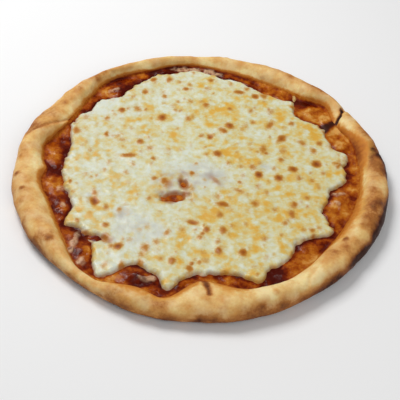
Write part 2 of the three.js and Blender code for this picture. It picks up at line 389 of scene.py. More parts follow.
def add_piece(name, points, quads, triangles, attributes, material, slot):
    """Adds a smooth piece that rides on the part's one body and stands for the CAD node of its slot."""
    mesh = bpy.data.meshes.new(name)
    mesh.vertices.add(len(points))
    mesh.vertices.foreach_set("co", (points * MM).ravel())
    corners = np.concatenate([quads.ravel(), triangles.ravel()])
    mesh.loops.add(len(corners))
    mesh.loops.foreach_set("vertex_index", corners)
    sizes = np.concatenate([np.full(len(quads), 4), np.full(len(triangles), 3)])
    mesh.polygons.add(len(sizes))
    mesh.polygons.foreach_set("loop_start", np.concatenate([[0], np.cumsum(sizes)[:-1]]))
    mesh.update(calc_edges=True)
    mesh.validate()
    mesh.shade_smooth()
    for key, values in attributes.items():
        layer = mesh.attributes.new(key, "FLOAT", "POINT")
        layer.data.foreach_set("value", np.ascontiguousarray(values, np.float32))
    mesh.materials.append(material)
    piece = bpy.data.objects.new(name, mesh)
    bpy.context.scene.collection.objects.link(piece)
    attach(piece, "root")
    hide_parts(slot)


# ---------------------------------------------------------------------------------------------------
# Materials
# ---------------------------------------------------------------------------------------------------
def linear(red, green, blue):
    """A screen colour, 0 to 255, as scene-linear RGBA."""
    def decode(c):
        c /= 255
        return c / 12.92 if c <= 0.04045 else ((c + 0.055) / 1.055) ** 2.4

    return (*map(decode, (red, green, blue)), 1.0)


class Recipe:
    """A material under construction: each method adds one node and returns its output."""

    def __init__(self, name):
        self.material = bpy.data.materials.new(name)
        self.material.use_nodes = True
        self.tree = self.material.node_tree
        self.shader = self.tree.nodes["Principled BSDF"]
        self.place = self.add("ShaderNodeTexCoord").outputs["Object"]

    def add(self, kind, inputs=(), **settings):
        node = self.tree.nodes.new(kind)
        for key, value in settings.items():
            setattr(node, key, value)
        for key, value in dict(inputs).items():
            self.plug(node.inputs[key], value)
        return node

    def plug(self, socket, value):
        if isinstance(value, bpy.types.NodeSocket):
            self.tree.links.new(value, socket)
        else:
            socket.default_value = value

    def attribute(self, name):
        return self.add("ShaderNodeAttribute", attribute_name=name).outputs["Fac"]

    def noise(self, size_mm, detail=3, roughness=0.55, warp=0.0):
        inputs = {
            "Vector": self.place, "Scale": 1 / (size_mm * MM), "Detail": detail,
            "Roughness": roughness, "Distortion": warp,
        }
        return self.add("ShaderNodeTexNoise", inputs).outputs["Fac"]

    def cells(self, size_mm):
        inputs = {"Vector": self.place, "Scale": 1 / (size_mm * MM)}
        return self.add("ShaderNodeTexVoronoi", inputs, feature="F1").outputs["Distance"]

    def math(self, operation, a, b, clamp=False):
        return self.add("ShaderNodeMath", {0: a, 1: b}, operation=operation, use_clamp=clamp).outputs[0]

    def scaled(self, value, low, high, to_low=0.0, to_high=1.0):
        inputs = {
            "Value": value, "From Min": low, "From Max": high, "To Min": to_low, "To Max": to_high,
        }
        return self.add("ShaderNodeMapRange", inputs, interpolation_type="SMOOTHSTEP").outputs["Result"]

    def mottle(self, size_mm, low, high, detail=3, roughness=0.55):
        """Noise drawn out so that most of it lies between low and high."""
        return self.scaled(self.noise(size_mm, detail, roughness), 0.3, 0.7, low, high)

    def mix(self, factor, a, b):
        node = self.add("ShaderNodeMix", data_type="RGBA", blend_type="MIX")
        self.plug(node.inputs["Factor"], factor)
        colours = [socket for socket in node.inputs if socket.type == "RGBA"]
        self.plug(colours[0], a)
        self.plug(colours[1], b)
        return next(socket for socket in node.outputs if socket.type == "RGBA")

    def ramp(self, value, stops):
        """Colours along a value: stops are (position, screen colour)."""
        node = self.add("ShaderNodeValToRGB", {"Fac": value})
        elements = node.color_ramp.elements
        while len(elements) < len(stops):
            elements.new(0.5)
        for element, (position, colour) in zip(elements, stops):
            element.position = position
            element.color = linear(*colour)
        return node.outputs["Color"]

    def bump(self, height, distance_mm, strength):
        inputs = {"Height": height, "Distance": distance_mm * MM, "Strength": strength}
        self.plug(self.shader.inputs["Normal"], self.add("ShaderNodeBump", inputs).outputs["Normal"])

    def finish(self, **inputs):
        for key, value in inputs.items():
            self.plug(self.shader.inputs[key.replace("_", " ")], value)
        return self.material


# Screen colours, 0 to 255, by themselves or each at its place on a scale from 0 to 1
DOUGH_COLOURS = [
    (0.0, (242, 218, 156)), (0.2, (228, 188, 118)), (0.42, (208, 152, 84)), (0.62, (172, 108, 48)),
    (0.85, (112, 56, 20)),
]
FLOURY_DOUGH, GLAZED_DOUGH, CHARRED_DOUGH = (238, 216, 166), (206, 130, 46), (58, 22, 5)
OILED_DOUGH_COLOURS = [
    (0.12, (226, 174, 82)), (0.35, (208, 136, 50)), (0.62, (188, 113, 38)), (1.0, (120, 46, 14)),
]
TOMATO_COLOURS = [
    (0.0, (72, 10, 0)), (0.25, (108, 30, 0)), (0.5, (152, 69, 6)), (0.75, (184, 108, 26)),
    (1.0, (212, 156, 80)),
]
# Milky colour of melted cheese, also used for painted highlights on the sauce
MILKY_AND_HIGHLIGHT_SAUCE, BURNT_SAUCE = (206, 168, 132), (54, 22, 8)
CREAM_COLOURS = [
    (0.0, (216, 221, 205)), (0.25, (212, 212, 182)), (0.45, (210, 202, 153)), (0.65, (212, 189, 119)),
    (0.82, (215, 178, 88)), (1.0, (216, 166, 62)),
]
TOASTED_COLOURS = [
    (0.1, (206, 170, 94)), (0.35, (191, 137, 54)), (0.6, (174, 107, 24)), (0.8, (154, 82, 6)),
    (1.0, (126, 58, 0)),
]
# Grey of thin cheese, also used for a painted sheen and for painted shade towards the left
THIN_SHEEN_AND_SHADE_GREY, THIN_CHEESE = (176, 170, 160), (160, 92, 30)
SCATTER_DEPTH = 1.5 * MM  # how far light gets into dough, sauce and cheese


def crust_material():
    """Baked dough: pale where it rose, browner low down and in toasted spots, stained by the sauce."""
    m = Recipe("baked_crust")
    specks = m.scaled(m.noise(2.4, 4, 0.65), 0.3, 0.75, -0.06, 0.08)
    patchy = m.math("ADD", m.attribute("toast"), m.mottle(16, -0.08, 0.08, 3, 0.5))
    baked = m.math("ADD", patchy, specks, clamp=True)
    unburnt = m.scaled(baked, 0.35, 0.65, 1.0, 0.0)
    floury = m.math("MULTIPLY", m.scaled(m.noise(13, 3, 0.5), 0.42, 0.7, 0.0, 0.42), unburnt)
    glazed = m.math("MULTIPLY", m.scaled(m.noise(9, 3, 0.5), 0.44, 0.72, 0.0, 0.4), unburnt)
    dough = m.mix(floury, m.ramp(baked, DOUGH_COLOURS), linear(*FLOURY_DOUGH))
    dough = m.mix(glazed, dough, linear(*GLAZED_DOUGH))
    ooze = m.math("ADD", m.attribute("stain"), m.mottle(4, -0.08, 0.08), clamp=True)
    colour = m.mix(m.scaled(ooze, 0.0, 0.46), dough, m.ramp(ooze, OILED_DOUGH_COLOURS))
    colour = m.mix(m.scaled(baked, 0.85, 1.0), colour, linear(*CHARRED_DOUGH))
    pores = m.scaled(m.cells(2.2), 0.0, 0.5)
    grain = m.math("ADD", m.math("MULTIPLY", pores, 0.35), m.noise(0.9, 5, 0.7))
    m.bump(grain, 0.35, 0.6)
    return m.finish(
        Base_Color=colour,
        Roughness=m.mottle(7, 0.5, 0.72),
        Specular_IOR_Level=0.2,
        Subsurface_Weight=0.1,
        Subsurface_Radius=(1.0, 0.5, 0.25),
        Subsurface_Scale=SCATTER_DEPTH,
    )


def sauce_material():
    """Baked tomato: dark and wet in the hollows, orange with oil where it is thin or stands up; the dark
    hollows and light tops are partly painted shade and light, the milky places partly painted
    highlights.
    """
    m = Recipe("tomato_sauce")
    pulp = m.noise(3.2, 5, 0.6, 0.4)
    tone = m.math("ADD", m.attribute("lit"), m.scaled(pulp, 0.3, 0.7, -0.14, 0.14), clamp=True)
    # Milky smears: melted cheese, and painted highlights on the wet sauce
    milky_and_highlight = m.math("MULTIPLY", m.attribute("milky_and_highlight"), m.scaled(pulp, 0.35, 0.6, 0.25, 0.85))
    colour = m.mix(milky_and_highlight, m.ramp(tone, TOMATO_COLOURS), linear(*MILKY_AND_HIGHLIGHT_SAUCE))
    colour = m.mix(m.attribute("burnt"), colour, linear(*BURNT_SAUCE))
    dry = m.scaled(m.attribute("dry"), 0.0, 1.0, 0.0, 0.5)
    m.bump(m.math("ADD", m.noise(1.6, 4, 0.6), m.math("MULTIPLY", pulp, 0.8)), 0.25, 0.6)
    return m.finish(
        Base_Color=colour,
        Roughness=m.math("ADD", m.mottle(5, 0.1, 0.3), dry),
        Specular_IOR_Level=0.1,
        Subsurface_Weight=0.08,
        Subsurface_Radius=(1.0, 0.25, 0.08),
        Subsurface_Scale=SCATTER_DEPTH,
    )


def cheese_material():
    """Melted mozzarella: cream, golden where fat came out, toasted in spots; greyish where thin, with a
    painted sheen and painted shade.
    """
    m = Recipe("melted_cheese")
    fine = m.mottle(1.8, -1.0, 1.0, 3, 0.5)
    curds = m.mottle(4.5, -1.0, 1.0, 2, 0.5)
    ripple = m.math("ADD", m.math("MULTIPLY", fine, 0.08), m.math("MULTIPLY", curds, 0.17))
    fat = m.math("ADD", m.attribute("golden"), ripple, clamp=True)
    heat = m.math("ADD", m.attribute("browned"), m.math("MULTIPLY", fine, 0.05), clamp=True)
    # Grey for thin cheese, for a painted sheen and for painted shade towards the left
    colour = m.mix(m.attribute("thin_sheen_and_shade"), m.ramp(fat, CREAM_COLOURS), linear(*THIN_SHEEN_AND_SHADE_GREY))
    colour = m.mix(m.scaled(heat, 0.02, 0.5), colour, m.ramp(heat, TOASTED_COLOURS))
    colour = m.mix(m.attribute("thin"), colour, linear(*THIN_CHEESE))
    m.bump(m.math("ADD", m.noise(1.4, 3, 0.5), m.noise(3.2, 2, 0.5)), 0.3, 0.35)
    return m.finish(
        Base_Color=colour,
        Roughness=m.mottle(6, 0.3, 0.5),
        Specular_IOR_Level=0.3,
        Subsurface_Weight=0.2,
        Subsurface_Radius=(1.0, 0.75, 0.45),
        Subsurface_Scale=SCATTER_DEPTH,
    )


# ---------------------------------------------------------------------------------------------------
# Crust
# ---------------------------------------------------------------------------------------------------
CRUST_BEARINGS, RIM_ROWS, BASE_ROWS = 900, 76, 32
SMALL_BLISTERS = 150
# Toasted blisters: bearing, along, radius, height, how toasted
BLISTERS = [
    (27, 0.12, 5.0, 1.8, -0.12), (34.2, 0.5, 3.4, -1.4, 0.8), (345, 0.46, 5.4, 1.2, 0.24),
    (189, 0.54, 2.6, 0.4, 0.35), (196.5, 0.46, 2.8, 0.5, 0.4), (334, 0.39, 2.8, 0.4, 0.2),
    (326.5, 0.28, 2.6, 0.4, 0.3), (294, 0.44, 2.6, 0.5, 0.3),
]
# How far up its inner slope sauce has stained the dough: bearing, share of the section, degrees
OOZE = [
    (222, 0.12, 11), (251, 0.58, 8), (264, 0.3, 6), (283, 0.34, 8), (14, 0.44, 8), (41, 0.1, 8),
    (337, 0.26, 13), (190, 0.08, 8), (80, -0.04, 40),
]
OOZE_MEAN, OOZE_FADE = 0.03, 0.14
OOZE_WANDER, OOZE_RADIUS = [(17, 0.05), (6, 0.03)], 130  # read on a circle of this radius
STAIN_STRENGTH = 0.62
# Browner and paler stretches of the rim: bearing, how much browner, degrees
BROWNER = [
    (353, 0.38, 21), (38, 0.1, 14), (150, 0.12, 22), (60, 0.06, 20), (305, -0.2, 18), (228, -0.12, 15),
    (95, -0.1, 22), (270, -0.04, 14), (354.5, -0.46, 5), (14, 0.12, 7), (345, 0.06, 3),
]
# And of its outer side below the widest place, toasted and darkened by painted shade under the belly
BROWNER_AND_SHADED_BELOW = [(318, 0.58, 26), (350, 0.4, 16), (270, 0.1, 16), (188, 0.14, 18), (228, 0.14, 18)]
# Where the sauce is darker along the dough: bearing, how dark, degrees
DARK_BORDER = [(100, 0.32, 30), (160, 0.2, 8), (190, 0.2, 6), (15, 0.3, 8)]
# Patches, as size across and how much browner, and the hollows of the underside, as size and depth
RIM_PATCHES = [(34, 0.17), (14, 0.21), (6, 0.13)]
BASE_PATCHES = [(30, 0.1), (13, 0.14), (5, 0.08)]
BASE_HOLLOWS = [(26, 1.1), (13, 0.6)]


def small_blisters():
    """Low blisters strewn over the rim, paler or browner than the dough round them."""
    return [
        (rng.uniform(0, 360), rng.uniform(0.14, 0.72), rng.uniform(2, 4.4), rng.uniform(0.15, 0.55),
         rng.uniform(-0.12, 0.2))
        for _ in range(SMALL_BLISTERS)
    ]


def rim_toast(rim, bearing, along):
    """How toasted the rim is between its creases and blisters: palest inside, brownest underneath, where
    painted shade adds to the toast.
    """
    toast = 0.28 + relief(rim, RIM_PATCHES)
    toast += swell(BROWNER, bearing) * smoothstep(along, 0.02, 0.35)
    # Browner low down outside: toast, with painted shade under the belly
    toast += 0.28 * smoothstep(along, 0.62, 0.8)
    toast += 0.2 * smoothstep(along, 0.8, 0.95) - 0.2 * (1 - smoothstep(along, 0.1, 0.4))
    # Toast and painted shade on the outer side below the widest place
    return toast + swell(BROWNER_AND_SHADED_BELOW, bearing) * smoothstep(along, 0.54, 0.7)


def rim_stain(bearing, along):
    """How much sauce and oil has soaked into the inner slope."""
    ooze = OOZE_MEAN + relief(polar(OOZE_RADIUS, bearing, 0), OOZE_WANDER) + swell(OOZE, bearing)
    soaked = 1 - smoothstep(along, 0, ooze + OOZE_FADE)
    return soaked * np.minimum(STAIN_STRENGTH + swell(DARK_BORDER, bearing), 1)


def crust_base(bearing):
    """Underside: rings of points, flat with shallow hollows, and how charred each point is."""
    share = np.linspace(0.04, 0.985, BASE_ROWS)[:, None]
    base = polar(share * (outer_reach(bearing) - FOOT_INSET), bearing, 0.0)
    hollow = np.clip(relief(base, BASE_HOLLOWS) - 0.15, 0, None)
    base[..., 2] = hollow * (1 - smoothstep(share, 0.9, 0.97))
    return base, 0.5 + relief(base, BASE_PATCHES) - 0.4 * base[..., 2]


def crust_piece():
    bearing = np.arange(CRUST_BEARINGS) * 360 / CRUST_BEARINGS
    along = np.broadcast_to(np.linspace(1, 0, RIM_ROWS)[:, None], (RIM_ROWS, CRUST_BEARINGS))
    rim, out, burnt = rim_skin(np.broadcast_to(bearing, along.shape), along)
    toast = rim_toast(rim, bearing, along)
    for at, part, radius, height, brown in BLISTERS + small_blisters():
        centre = rim_surface(np.array(float(at)), np.array(part))[0]
        close = bell(np.linalg.norm(rim - centre, axis=-1), radius, 2.6)
        rim = rim + out * (height * close)[..., None]
        toast = toast + brown * close
    toast = np.maximum(toast, burnt) + 0.3 * burnt
    stain = np.clip(rim_stain(bearing, along) - burnt, 0, 1)

    base, charred = crust_base(bearing)
    bed_reach = np.array([[1.0], [0.7]]) * (well_reach(bearing) - CLEARANCE / 2)
    bed = polar(bed_reach, bearing, DOUGH_THICKNESS)
    rings = np.concatenate([base, rim, bed])
    points, quads, triangles = shell([(0, 0, 0)], rings, [(0, 0, DOUGH_THICKNESS)])

    def whole(below, on_rim, above):
        """A value for each point of the shell, the same all over the bed above."""
        on_bed = np.full(bed_reach.size + 1, above)
        return np.concatenate([below.ravel()[:1], below.ravel(), on_rim.ravel(), on_bed])

    attributes = {
        "toast": whole(charred, toast, 0.2),
        "stain": whole(np.zeros(charred.shape), stain, 0.6),
    }
    add_piece("crust_baked", points, quads, triangles, attributes, crust_material(), "crust")


# ---------------------------------------------------------------------------------------------------
# Sauce
# ---------------------------------------------------------------------------------------------------
SAUCE_BEARINGS, FILM_ROWS = 960, 9
# Rings of its top: from, to, how many. Past BEND they are drawn out or in, so that EDGE falls on the
# edge of the well.
BEND, EDGE = 96, 150
SAUCE_STRETCHES = [(8, 24, 3), (24, 48, 20), (48, BEND, 7), (BEND, EDGE, 60)]
# How far the sauce climbs the rim's inner slope: bearing, share of the section, degrees
CLIMB = [(100, 0.06, 3), (110, 0.02, 6), (53, 0.04, 4), (330, 0.03, 8), (155, 0.03, 8), (32, -0.1, 3)]
CLIMB_MEAN, CLIMB_LEAST = 0.04, 0.02
CLIMB_WANDER = [(17, 0.03), (6, 0.03)]
FILM_THICKNESS = (0.25, -0.2)  # at its foot, and at its upper edge, which sinks into the dough
FILM_RELIEF = [(5, 0.16)]
SAUCE_PATCHES = [(17, 0.36), (9, 0.34), (4, 0.2)]  # size across, how much lighter
# Where the sauce is thin and orange, or deep and dark: bearing, how much lighter, degrees
LIGHTER = [
    (5, 0.09, 34), (172, -0.04, 28), (5, 0.26, 7), (27, 0.22, 8), (60, 0.34, 9), (77, -0.28, 5),
    (126, -0.2, 6), (161, 0.2, 5), (198, -0.12, 5), (230, 0.14, 7), (258, -0.3, 6), (271, 0.2, 4),
    (281, -0.14, 4), (329, -0.2, 6), (351, -0.2, 8),
]
# Burnt and deep places: x, y, radius, how much darker. Past BURNT_FROM they are burnt dry.
BURNT_FROM = 0.8
DARK_POOLS = [
    (103, 61, 4, 1), (106, 65, 4, 1), (110, 69, 3.5, 0.9), (114, 72, 3, 0.9), (-75, 96, 5, 0.5),
    (-60, 113, 7, 0.45), (88, 92, 5, 0.4), (102, -22, 4, 0.3), (107, -8, 4, 0.3), (106, -36, 4, 0.25),
    (-118, -10, 6, 0.4), (123, 0, 6, 0.35), (6.5, -117.5, 2.6, 0.45), (-116, 30, 4, 0.3),
    (-45, -114, 6, 0.3), (62, -100, 8, 0.3), (-15, -31, 4.5, -0.4), (-92, -84, 9, -0.28),
    (-62, -104, 7, -0.15),
]


def sauce_pool(bearing):
    """Rings of points over the top of the sauce, from the middle out to the edge of the well."""
    shares = [np.linspace(a, b, n, endpoint=False) for a, b, n in SAUCE_STRETCHES]
    marks = np.concatenate(shares)[:, None]
    drawn_out = lerp(BEND, well_reach(bearing), (marks - BEND) / (EDGE - BEND))
    pool = polar(np.where(marks < BEND, marks, drawn_out), bearing, 0.0)
    pool[..., 2] = sauce_height(pool)
    return pool


def sauce_film(bearing):
    """Rings of points up the inner slope of the rim, where the sauce thins out on the dough."""
    edge = polar(well_reach(bearing), bearing, 0.0)
    climb = CLIMB_MEAN + relief(edge, CLIMB_WANDER) + swell(CLIMB, bearing)
    share = np.linspace(0, 1, FILM_ROWS)[:, None]
    along = share * np.maximum(climb, CLIMB_LEAST)
    skin, out, _ = rim_skin(np.broadcast_to(bearing, along.shape), along)
    thick = lerp(*FILM_THICKNESS, share**2) + (1 - share) * relief(skin, FILM_RELIEF)
    return skin + out * thick[..., None]


def sauce_looks(points):
    """How light, dry, burnt and milky the sauce is at each point; its lightness holds painted light and
    shade, its milky places painted highlights.
    """
    level = levelled(points)
    around, reach = bearing_and_reach(level)
    past_well = reach - well_reach(around)
    lit = 0.44 + relief(level, SAUCE_PATCHES) + swell(LIGHTER, around)
    # Raised sauce lighter, low sauce darker: partly the orange of thin sauce up the rim, partly painted
    # light on tops and painted shade down low
    lit += 0.1 * np.clip(points[:, 2] - SAUCE_TOP - 1, -1, 1)
    lit -= 0.25 * bell(cover(level) + 1, 2.2) * smoothstep(reach, 60, 90)  # in the shade of the cheese
    lit -= swell(DARK_BORDER, around) * smoothstep(past_well, -6, -1)
    lit = lerp(lit, 0.72 - swell(DARK_BORDER, around), smoothstep(past_well, -0.8, 0.4))
    burnt = np.zeros(len(points))
    for x, y, radius, darker in DARK_POOLS:
        close = bell(oval_distance(points, x, y), radius, 2.4)
        lit -= darker * close
        if darker > BURNT_FROM:
            burnt = np.maximum(burnt, close)
    dry = np.maximum(smoothstep(past_well, -3.5, -0.5), burnt)
    return {"lit": lit, "dry": dry, "burnt": burnt, "milky_and_highlight": smear_and_highlight_mask(points)}


def sauce_piece():
    bearing = np.arange(SAUCE_BEARINGS) * 360 / SAUCE_BEARINGS
    under = polar(sauce_reach(bearing), bearing, SAUCE_BOTTOM)[None]
    rings = np.concatenate([under, sauce_film(bearing)[::-1], sauce_pool(bearing)[::-1]])
    points, quads, triangles = shell([(0, 0, SAUCE_BOTTOM)], rings, [(0, 0, SAUCE_TOP)])
    looks = sauce_looks(points)
    add_piece("tomato_sauce", points, quads, triangles, looks, sauce_material(), "sauce")


# ---------------------------------------------------------------------------------------------------
# Cheese
# ---------------------------------------------------------------------------------------------------
CHEESE_NET = 312  # points along a side of the square net that is drawn out into a disc
CROWDING = 0.2  # how much closer the net's rings lie at the edge than in the middle
BURIED, DIVE = 0.9, 1.5  # the sheet ends this far under the sauce, and how steeply it goes down
EDGE_WALL = 0.05  # height of the wall that closes the sheet there
LIP = 3.2  # width over which the cheese thickens from its edge
SETTLED = 5  # and over which it lies level, whatever the sauce under its edge does
SPOT_REACH = (1, 1.25, 1)  # toasted spots are this much longer along each axis
SPOT_SIZE, RING_SIZE = 1.15, 1.7  # radius of a named spot, and of the golden ring round it, as shares
CURL_SIZE, CURL = 5.3, 1.3  # lumps that the freckles and blobs bend round, and how far
# Strewn ovals: pitch of their net, seed, radius, stretch
FRECKLES, FINE_FRECKLES = (15, 1, 2.8, 1.2), (10.5, 6, 2.2, 1.2)
BLOBS, SMALL_BLOBS, CURDS = (18, 11, 6.2, 1.5), (11, 16, 3.6, 1.4), (6.5, 21, 2.6, 2.2)
FAT_PATCHES = [(55, 0.08), (24, 0.12), (11, 0.08)]
WINDOW_WANDER = [(9, 2.5), (4, 1.5)]
GOLD_MEAN, GOLD_TO_RIGHT = 0.3, 1 / 1500  # the second for each mm along +X
# Strength of the painted sheen on the thin places, and painted shade that greys the cheese towards the
# left
SHEEN_STRENGTH, SHADE_TO_LEFT = 0.47, 1 / 900  # the second for each mm along -X
# Toasted spots that lie as in the photo: x, y, radius, how toasted, stretch, turn
SPOTS = [
    (-53, 96, 2.3, 0.7, 1.2, 20), (-36, 62, 3.2, 0.85, 1.1, 60), (-71, 69, 2.6, 0.8, 1, 0),
    (-58, 73, 3.0, 0.5, 1.3, 130), (-52, 30, 2.6, 0.75, 1, 0), (-60, 11.8, 2.0, 0.7, 3.2, 2),
    (-81, -42, 3.0, 0.95, 1.3, 110), (-58, -88, 2.5, 0.95, 1.1, 20), (22, 57, 2.9, 0.85, 1.2, 160),
    (6, 41, 2.6, 0.8, 1, 0), (13, 20, 3.0, 0.75, 1.2, 170), (66, 44, 2.9, 0.8, 1.4, 50),
    (57, 62, 2.9, 0.6, 1.6, 50), (47, -2, 3.0, 1.0, 1, 0), (63, -4.5, 2.7, 0.9, 1.2, 140),
    (94.5, 16, 2.8, 0.95, 1.2, 160), (75, 7, 2.8, 0.85, 1.3, 170), (30, 103, 2.3, 0.7, 2.0, 175),
    (44, 99, 2.5, 0.8, 1.1, 0), (50.5, 29, 3.2, 0.5, 1.5, 80), (18.6, -38, 2.4, 0.75, 2.0, 175),
    (44, -35, 3.0, 0.55, 1.2, 0), (7, -66, 2.6, 0.75, 1.1, 30), (19.6, -66, 2.7, 0.7, 1.1, 150),
    (-4, -59, 1.8, 0.8, 2.6, 170), (17, -86, 2.7, 0.75, 1.1, 100), (35, -87, 2.9, 0.85, 1.1, 70),
    (-4, -105, 2.5, 0.7, 1.1, 120), (-22.7, -71, 2.4, 0.5, 1.2, 60), (110, 38, 3.6, 0.5, 1.6, 10),
    (31, -21.7, 1.9, 0.45, 3.0, 160), (12, -11, 2.0, 0.25, 3.0, 130), (-7, -4, 2.4, 0.6, 1, 0),
    (-27, -19, 2.6, 0.4, 1.5, 70), (-6, -24, 2.4, 0.35, 1.4, 60), (-47, 114, 2.4, 0.7, 1.1, 20),
    (-24, 114, 2.2, 0.4, 1.2, 0), (4, 118, 2.4, 0.6, 1.2, 0), (-92, 15, 2.2, 0.35, 1, 0),
    (-67, 31, 2.2, 0.38, 2.2, 0), (-60, -8, 2.2, 0.4, 1, 0), (-61, -50, 2.4, 0.42, 1.1, 40),
    (-71.5, -48, 2.4, 0.5, 1.2, 80), (-68, -80, 2.8, 0.5, 1.4, 80), (-17, -99, 2.7, 0.65, 1.1, 60),
    (-40, -94, 2.8, 0.42, 1.2, 0), (2, -74, 2.2, 0.5, 1.2, 150), (7, -97, 2.6, 0.38, 1.2, 0),
    (59.5, -40, 2.4, 0.42, 1.2, 0), (67, -54.5, 2.2, 0.48, 1.2, 0), (88, -60, 2.4, 0.5, 1.1, 0),
    (85, -34.6, 2, 0.4, 1, 0), (65, 18, 2.2, 0.55, 1.1, 0), (79.5, -4, 2.2, 0.5, 1, 0),
    (90, -4.7, 2.8, 0.4, 1.1, 90), (111, 17, 2.2, 0.5, 1.7, 0), (75, 64, 2.5, 0.55, 1.1, 60),
    (42, 64, 2.2, 0.48, 1.1, 0), (58, 78.5, 2.4, 0.4, 2, 60), (22, 10, 2.5, 0.42, 1, 0),
    (32.5, 7, 2.6, 0.38, 1.2, 0), (-10, 66, 2.4, 0.38, 1.2, 120),
]
# Places with more fat, or less of it: x, y, radius, how golden
GOLDEN = [
    (8, 58, 6, 0.7), (22, 20, 9, 0.7), (-27, 37, 8, 0.4), (70, 31, 7, 0.4), (95, 41, 10, 0.4),
    (-54, -30, 9, 0.5), (8, -49, 8, 0.6), (-12, -76, 12, 0.45), (29, -50, 8, 0.35), (44, -35, 6, 0.4),
    (45, -62, 8, 0.35), (60, -47, 8, 0.3), (91, -4, 7, 0.4), (-71, -55, 7, 0.5), (-88, -60, 8, 0.5),
    (-107, -4, 8, 0.5), (-6, 104, 7, 0.4), (12, 82, 9, 0.4), (50, 32, 7, 0.5), (-48, -72, 15, -0.4),
    (-92, 78, 18, -0.4), (-10, 2, 16, -0.3), (-62, -90, 10, -0.3),
]
# Smooth greyish places where the cheese is thin, their grey also a painted sheen: x, y, half length,
# half width, turn
THIN_PLACES_WITH_SHEEN = [
    (6, -4, 16, 11, 150), (-27, -12, 13, 11, 60), (-9, -18, 15, 8, 0), (-44, -69, 17, 14, 0),
    (-59, -54, 9, 7, 0), (52, 7, 6, 4, 0), (-88, -38, 6, 5, 0),
]
# Brownish places where the sauce shows through: x, y, half length, half width, turn, how strongly
SEEN_THROUGH = [
    (-25, -19, 6, 4, 80, 0.55), (-31, -28, 4, 3, 0, 0.5), (12, -11.5, 7, 2.4, 130, 0.6),
    (-5, -19, 5, 2.4, 60, 0.35), (-14, -5, 6, 3, 150, 0.4), (-12, -28, 4, 3, 20, 0.5),
]


def disc_net(side):
    """A square net drawn out into a unit disc: reach and bearing of each point, and the quads."""
    line = np.linspace(-1, 1, side)
    a, b = np.meshgrid(line, line)
    share = np.maximum(abs(a), abs(b))
    steep = abs(b) > abs(a)
    safe_a, safe_b = np.where(a == 0, 1e-9, a), np.where(b == 0, 1e-9, b)
    turned_back = np.where(np.where(steep, b, a) < 0, 180, 0)
    angle = np.where(steep, 90 - 45 * a / safe_b, 45 * b / safe_a) + turned_back
    index = np.arange(side * side).reshape(side, side)
    quads = np.stack([index[:-1, :-1], index[:-1, 1:], index[1:, 1:], index[1:, :-1]], -1)
    falling = (line[:-1, None] + line[1:, None]) * (line[:-1] + line[1:]) < 0
    quads[falling] = np.roll(quads[falling], -1, axis=-1)  # so that each quad is split along its spoke
    return share.ravel(), angle.ravel() % 360, quads.reshape(-1, 4)


def loose_edges(quads):
    """Edges that only one quad has, in its own direction."""
    edges = np.concatenate([quads[:, [k, (k + 1) % 4]] for k in range(4)])
    key = np.sort(edges, axis=1)
    _, first, times = np.unique(key, axis=0, return_index=True, return_counts=True)
    return edges[first[times == 1]]


def filled(points, edges):
    """Triangles that fill the inside of a level outline, but not its holes; they face down."""
    bm = bmesh.new()
    verts = [bm.verts.new(p) for p in points]
    bm.verts.ensure_lookup_table()
    loops = [bm.edges.new((verts[a], verts[b])) for a, b in edges]
    bmesh.ops.triangle_fill(bm, edges=loops, use_beauty=True, use_dissolve=False, normal=(0, 0, -1))
    bm.verts.index_update()
    triangles = np.array([[v.index for v in f.verts] for f in bm.faces])
    bm.free()
    a, b, c = np.moveaxis(points[triangles], 1, 0)
    up = np.cross(b - a, c - a)[:, 2] > 0
    triangles[up] = triangles[up][:, ::-1]
    return triangles


def closed_below(points, quads, level):
    """Adds a wall round every loose edge down to `level`, and a floor across it."""
    rim = loose_edges(quads)
    corners = np.unique(rim)
    lowered = np.full(len(points), -1)
    lowered[corners] = len(points) + np.arange(len(corners))
    walls = np.stack([rim[:, 1], rim[:, 0], lowered[rim[:, 0]], lowered[rim[:, 1]]], -1)
    floor = levelled(points[corners]) + (0, 0, level)
    triangles = filled(floor, lowered[rim] - len(points)) + len(points)
    return np.vstack([points, floor]), np.vstack([quads, walls]), triangles


def fat_tone(points, curled, blobs):
    """How much fat has come out: blobs, broad patches and the named places."""
    fat = relief(points, FAT_PATCHES) + 0.85 * blobs
    for x, y, radius, strong in GOLDEN:
        fat += 0.85 * strong * bell(oval_distance(curled, x, y), radius)
    return fat


def named_spots(points, turned):
    """For each named spot: radius, strength, how near to it each point lies, and its golden ring."""
    wander = (1 + 0.22 * lumps(turned, 3.1)) / SPOT_SIZE
    for x, y, radius, strong, stretch, turn in SPOTS:
        away = oval_distance(points / SPOT_REACH, x, y / SPOT_REACH[1], stretch, turn) * wander / radius
        yield radius, strong, bell(away), bell(away, RING_SIZE)


def thin_sheen_and_shade_tone(points, patchy):
    """How greyish the cheese is: thin round the windows, painted shade towards the left, and a painted
    sheen on the thin places.
    """
    by_windows = 0.35 * np.exp(-np.clip(oval_gap(points, WINDOWS), 0, None) / 6)
    # Painted shade: greyer towards the left
    thin_sheen_and_shade = np.maximum(by_windows, -SHADE_TO_LEFT * points[:, 0])
    for oval in THIN_PLACES_WITH_SHEEN:
        # Painted sheen on the smooth thin places
        thin_sheen_and_shade = np.maximum(thin_sheen_and_shade, SHEEN_STRENGTH * oval_bell(points, *oval) * patchy)
    return thin_sheen_and_shade


def thin_tone(points, inside, bits):
    """How far the sauce colours the cheese along its edge, round the windows and in loose shreds."""
    hole = oval_gap(points, WINDOWS) + relief(points, WINDOW_WANDER)
    along_edge = 0.6 * (1 - smoothstep(inside, 0.1, 1.8))
    round_window = 0.95 * (1 - smoothstep(hole, 0.5, 4.5))
    return np.maximum(np.maximum(along_edge, round_window), 0.25 * bits)


